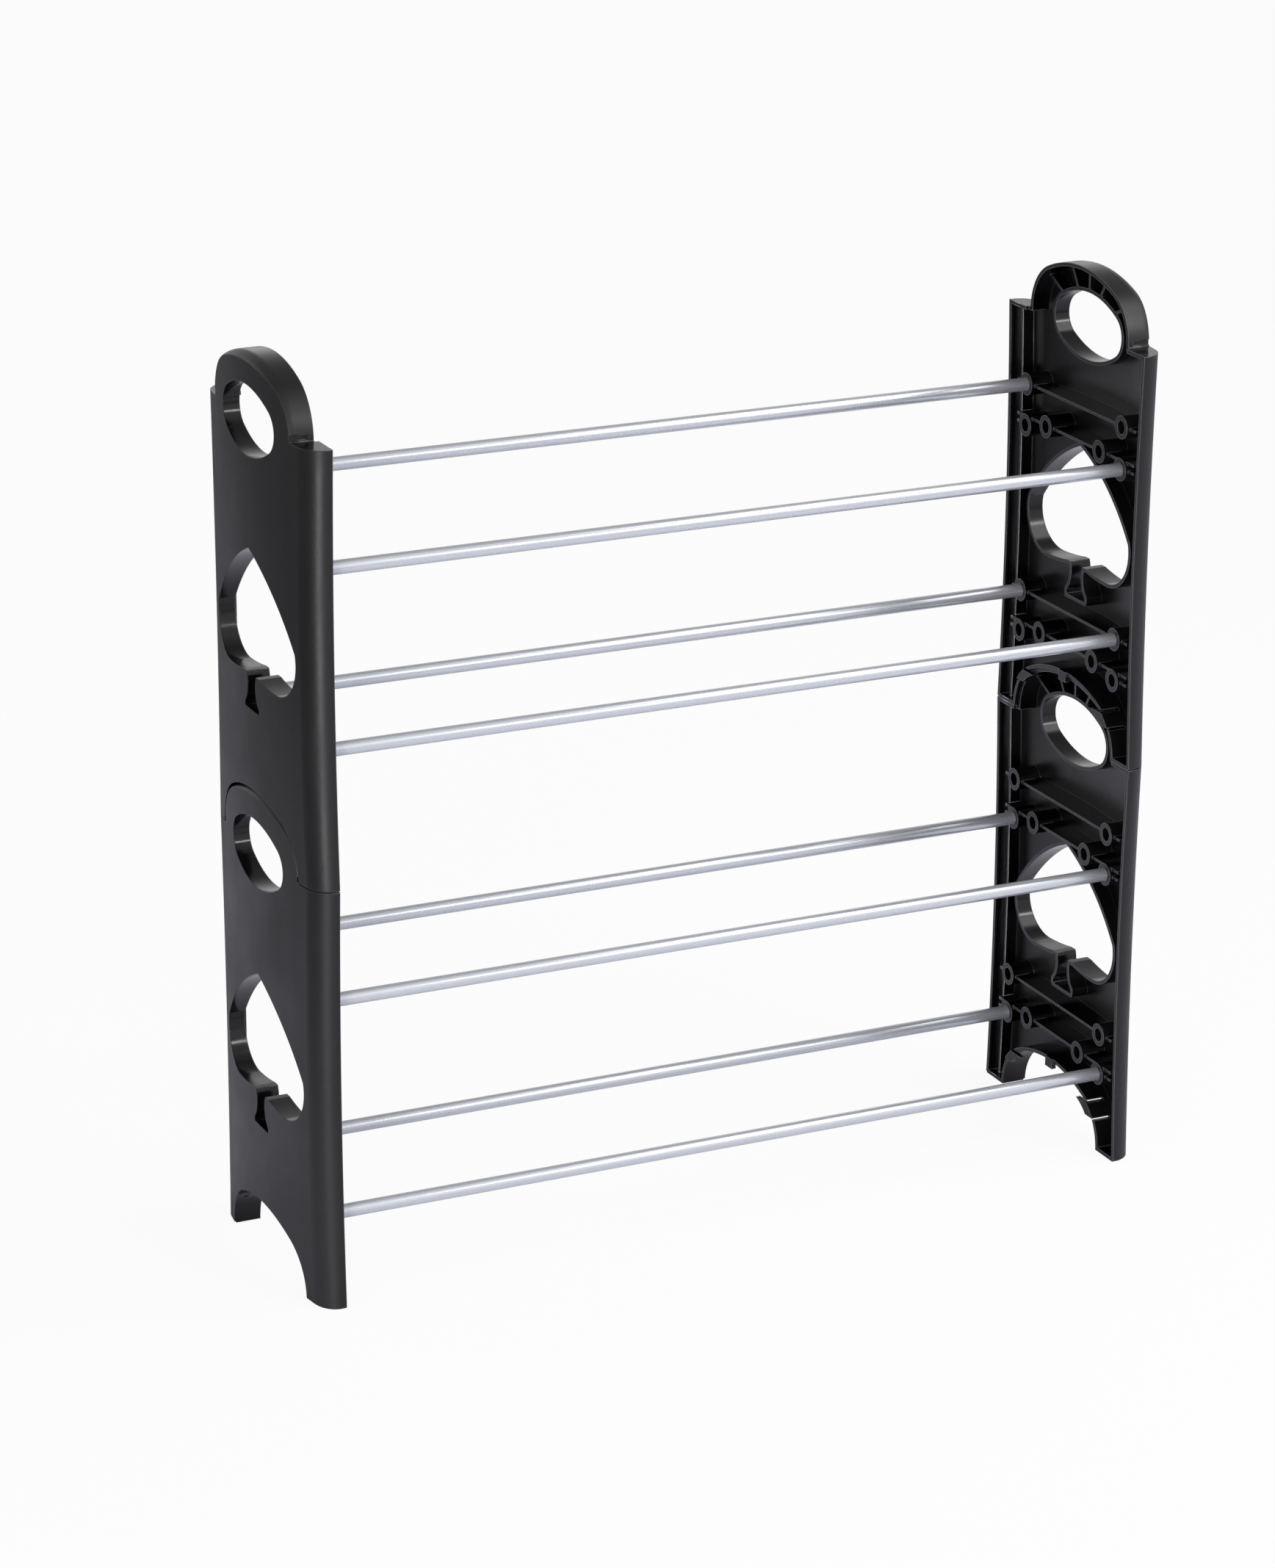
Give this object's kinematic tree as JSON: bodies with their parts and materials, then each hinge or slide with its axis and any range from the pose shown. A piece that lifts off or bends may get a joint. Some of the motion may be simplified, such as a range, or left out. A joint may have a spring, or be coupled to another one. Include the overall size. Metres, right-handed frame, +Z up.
{
  "type": "stackable shoe rack",
  "caption": "Free-standing stackable shoe rack: moulded black side panels with hand holes and spade cut-outs, joined by plain steel tubes that carry the shoes.",
  "frame": {"origin": "on the floor, below the middle of the rack", "axes": "+X along the tubes, to the right seen from the front; +Y from front to back; +Z up"},
  "size_m": [0.602, 0.177, 0.601],
  "materials": {
    "panel_plastic": "black injection-moulded polypropylene, semi-gloss",
    "tube_steel": "bright plated thin-walled steel tube"
  },
  "bodies": {
    "lower_module": {"lower_left_panel": "panel_plastic", "lower_right_panel": "panel_plastic"},
    "upper_module": {"upper_left_panel": "panel_plastic", "upper_right_panel": "panel_plastic"},
    "bottom_tier_front_tube": {"bottom_tier_front_tube": "tube_steel"},
    "bottom_tier_back_tube": {"bottom_tier_back_tube": "tube_steel"},
    "second_tier_front_tube": {"second_tier_front_tube": "tube_steel"},
    "second_tier_back_tube": {"second_tier_back_tube": "tube_steel"},
    "third_tier_front_tube": {"third_tier_front_tube": "tube_steel"},
    "third_tier_back_tube": {"third_tier_back_tube": "tube_steel"},
    "top_tier_front_tube": {"top_tier_front_tube": "tube_steel"},
    "top_tier_back_tube": {"top_tier_back_tube": "tube_steel"}
  },
  "joints": [
    {"name": "upper_module_lift", "type": "slide", "parent": "lower_module", "child": "upper_module", "axis": [0, 0, 1], "range_m": [0, 0.06]},
    {"name": "bottom_tier_front_tube_spin", "type": "hinge", "parent": "lower_module", "child": "bottom_tier_front_tube", "pos_m": [0, -0.0624, 0.0552], "axis": [1, 0, 0], "continuous": true},
    {"name": "bottom_tier_back_tube_spin", "type": "hinge", "parent": "lower_module", "child": "bottom_tier_back_tube", "pos_m": [0, 0.0624, 0.0552], "axis": [1, 0, 0], "continuous": true},
    {"name": "second_tier_front_tube_spin", "type": "hinge", "parent": "lower_module", "child": "second_tier_front_tube", "pos_m": [0, -0.0624, 0.1991], "axis": [1, 0, 0], "continuous": true},
    {"name": "second_tier_back_tube_spin", "type": "hinge", "parent": "lower_module", "child": "second_tier_back_tube", "pos_m": [0, 0.0624, 0.1991], "axis": [1, 0, 0], "continuous": true},
    {"name": "third_tier_front_tube_spin", "type": "hinge", "parent": "upper_module", "child": "third_tier_front_tube", "pos_m": [0, -0.0624, 0.3635], "axis": [1, 0, 0], "continuous": true},
    {"name": "third_tier_back_tube_spin", "type": "hinge", "parent": "upper_module", "child": "third_tier_back_tube", "pos_m": [0, 0.0624, 0.3635], "axis": [1, 0, 0], "continuous": true},
    {"name": "top_tier_front_tube_spin", "type": "hinge", "parent": "upper_module", "child": "top_tier_front_tube", "pos_m": [0, -0.0624, 0.4791], "axis": [1, 0, 0], "continuous": true},
    {"name": "top_tier_back_tube_spin", "type": "hinge", "parent": "upper_module", "child": "top_tier_back_tube", "pos_m": [0, 0.0624, 0.5074], "axis": [1, 0, 0], "continuous": true}
  ]
}
